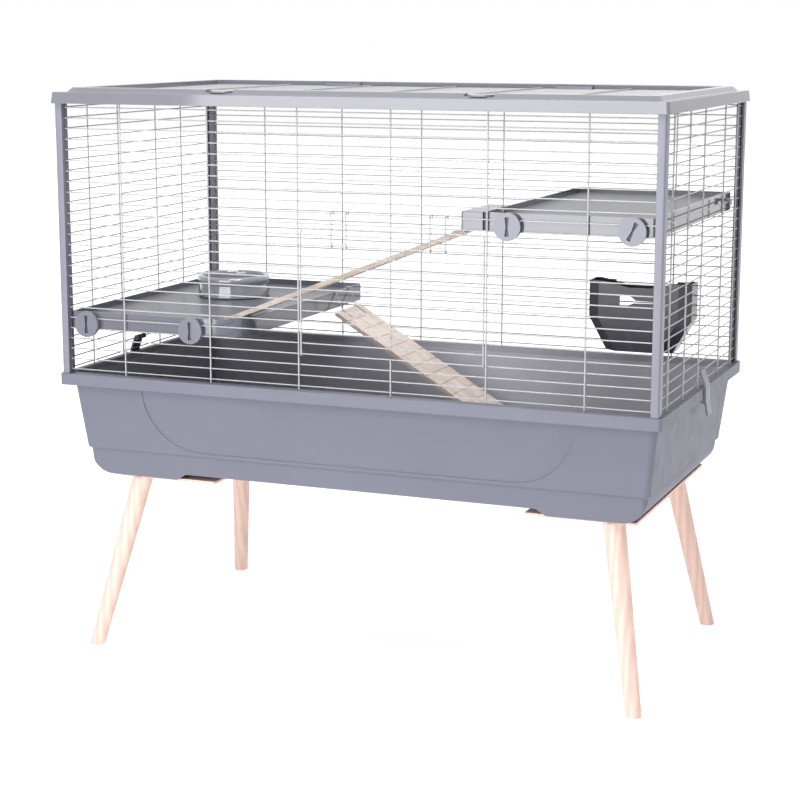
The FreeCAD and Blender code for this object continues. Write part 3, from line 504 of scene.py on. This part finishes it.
def door_hook(side):
    """A double hook bent from one wire, with two eyes on a row of the door."""
    radius, bend = 0.001, 0.002
    back_gap, prong, bar_height = 0.0011, 0.006, 0.0045
    eye_radius, eye_turn = 0.0023, 240
    eye_inset, eye_stem = 0.0033, 0.006
    node = f"door_hook_{side}"
    low, high = extent(node)
    left, right = low.x + radius, high.x - radius
    front, back = low.y + radius, high.y - back_gap
    axis_y, axis_z = low.y + eye_inset, low.z + eye_inset
    top = high.z - radius
    tip, bar = top - prong, axis_z + bar_height
    bm = bmesh.new()
    path = filleted([
        (left, back, tip), (left, back, top), (left, front, top), (left, front, bar),
        (right, front, bar), (right, front, top), (right, back, top), (right, back, tip),
    ], bend)
    sweep(bm, path, radius)
    for x in (left, right):
        eye = loop(Vector((x, axis_y, axis_z)), eye_radius, eye_turn)
        sweep(bm, [Vector((x, front, axis_z + eye_stem))] + eye, radius)
    show(f"{node}_wire", bm, [WIRE], node)


def bowl():
    """A low round bowl with a rolled lip."""
    low, high = extent("bowl")
    centre = Vector(((low.x + high.x) / 2, (low.y + high.y) / 2, low.z))
    foot_and_wall = [(56, 0), (60.5, 0.8), (62.2, 2.6), (62.2, 5), (60.8, 14), (59.6, 22)]
    lip = [
        (60.0, 24.5), (61.6, 26.6), (62.8, 29.4), (62.9, 32.2), (61.9, 35.1), (59.8, 37.2), (57.2, 37.9),
        (54.8, 37.2), (53.2, 35.3), (52.6, 32.5),
    ]
    inside = [(52.3, 26), (51.8, 12), (51.0, 7.5), (48.5, 4.8), (44, 4.0), (30, 3.8)]
    spun("bowl", SMOKE, foot_and_wall + lip + inside, centre)


# The tub's inside faces get the painted light.
refined("tub", TUB, rounding=0.0014, second=PAINTED_LIGHT_PAN, where=in_pan)
refined("lid_frame", LID, rounding=0.0012)
for corner in ("front_left", "front_right", "back_left", "back_right"):
    refined(f"post_{corner}", POST, rounding=0.0008, second=PAINTED_SHADE_POST, where=faces_in)
    refined(f"leg_{corner}", BEECH, rounding=0.0016)
for side in ("left", "right"):
    refined(f"leg_board_{side}", BEECH, rounding=0.0012)
    refined(f"{side}_tray", GLOSS, rounding=0.0010, second=SIEVE, where=on_floor)
    refined(f"{side}_tray_hook", POST, rounding=0.0006)
    refined(f"hatch_clip_{side}", LID, rounding=0.0007)
    door_hook(side)
refined("ramp_landing", GLOSS, rounding=0.0009)
refined("hatch_brackets", LID, rounding=0.0006)
refined("hay_rack", DARK, rounding=0.0008)
refined("rim_clip_left", DARK, rounding=0.0006)
refined("rim_clip_right", POST, rounding=0.0006)
for knob in ("left_outer", "left_inner", "right_inner", "right_outer"):
    refined(f"knob_{knob}", KNOB, rounding=0.0008, second=PAINTED_SHADE_SLOT, where=in_slot)
for ramp in ("lower", "upper"):
    refined(f"{ramp}_ramp", RAMP, rounding=0.0006, second=EDGE, where=on_edge)
for ramp in ("lower", "upper"):
    refined(f"{ramp}_ramp_hooks", WIRE, rounding=0)
for fixing in ("leg_studs", "board_screws"):
    refined(fixing, STEEL, rounding=0.0003)
bowl()
for panel in ("front_panel", "back_panel", "left_panel", "right_panel", "roof_hatch"):
    rods(panel)
door_wire()


# Studio

def floor():
    """A wide pale floor that glows more away from the object."""
    reach, drop = 14, 0.0005
    bm = bmesh.new()
    corners = [(-reach, -reach), (reach, -reach), (reach, reach), (-reach, reach)]
    bm.faces.new([bm.verts.new((x, y, -drop)) for x, y in corners])
    mesh = bpy.data.meshes.new("floor")
    bm.to_mesh(mesh)
    bm.free()
    material, tree, shader, place = start("pale_floor")
    cloud = noise(tree, place, scale=0.6, detail=2.0)
    away = add(tree, "VectorMath", {"Vector": place}, operation="LENGTH").outputs["Value"]
    set_inputs(tree, shader, {
        "Base Color": shades(tree, cloud, [(0, (0.86,) * 3), (1, (0.90,) * 3)]),
        "Roughness": 0.9,
        "Emission Color": (1, 1, 1, 1),
        "Emission Strength": ranged(tree, away, 0.36, 0.66, begin=0.9, end=2.6),
    })
    mesh.materials.append(material)
    piece = bpy.data.objects.new("floor", mesh)
    SCENE.collection.objects.link(piece)


def studio_sky():
    """A bright backdrop behind the object, a lit ceiling and a dimmer room in front."""
    world = bpy.data.worlds.new("studio")
    SCENE.world = world
    world.use_nodes = True
    tree = world.node_tree
    towards = add(tree, "SeparateXYZ", {"Vector": add(tree, "TexCoord", {}).outputs["Generated"]}).outputs
    behind = ranged(tree, towards["Y"], 0.22, 1.0, begin=-0.35, end=0.45)
    ceiling = ranged(tree, towards["Z"], 0.0, 0.3, begin=0.25, end=0.9)
    total = add(tree, "Math", {0: behind, 1: ceiling}, operation="ADD").outputs["Value"]
    set_inputs(tree, tree.nodes["Background"], {"Color": (1, 1, 1, 1), "Strength": total})


def softbox(name, place, target, width, height, power):
    """A rectangular lamp that looks at a target."""
    light = bpy.data.lights.new(name, "AREA")
    light.shape = "RECTANGLE"
    light.size, light.size_y = width, height
    light.energy = power
    lamp = bpy.data.objects.new(name, light)
    lamp.location = place
    lamp.rotation_euler = (Vector(target) - Vector(place)).to_track_quat("-Z", "Y").to_euler()
    SCENE.collection.objects.link(lamp)


def camera():
    """The photo's viewpoint, fitted from the cage's straight edges."""
    place = (1.1613, -2.9272, 1.0198)
    azimuth, down, roll = (math.radians(angle) for angle in (21.849, 11.005, 0.0711))
    focal_pixels, photo_pixels = 1923.6, 800
    sensor_mm = 36
    ahead = Vector((-math.sin(azimuth) * math.cos(down), math.cos(azimuth) * math.cos(down), -math.sin(down)))
    right = Vector((math.cos(azimuth), math.sin(azimuth), 0))
    up = right.cross(ahead)
    right, up = right * math.cos(roll) + up * math.sin(roll), up * math.cos(roll) - right * math.sin(roll)
    turn = Matrix((right, up, -ahead)).transposed()
    data = bpy.data.cameras.new("camera")
    data.sensor_width = sensor_mm
    data.lens = sensor_mm * focal_pixels / photo_pixels
    data.clip_end = 60
    seat = bpy.data.objects.new("camera", data)
    seat.matrix_world = Matrix.Translation(place) @ turn.to_4x4()
    SCENE.collection.objects.link(seat)
    SCENE.camera = seat


floor()
studio_sky()
softbox("key", place=(-0.46, -2.47, 1.15), target=(0.1, -0.2, 0.75), width=1.75, height=2.0, power=58)
softbox("top", place=(0.3, -0.9, 2.5), target=(0.0, 0.05, 0.5), width=1.2, height=1.0, power=42)
camera()
SCENE.view_settings.view_transform = "Standard"
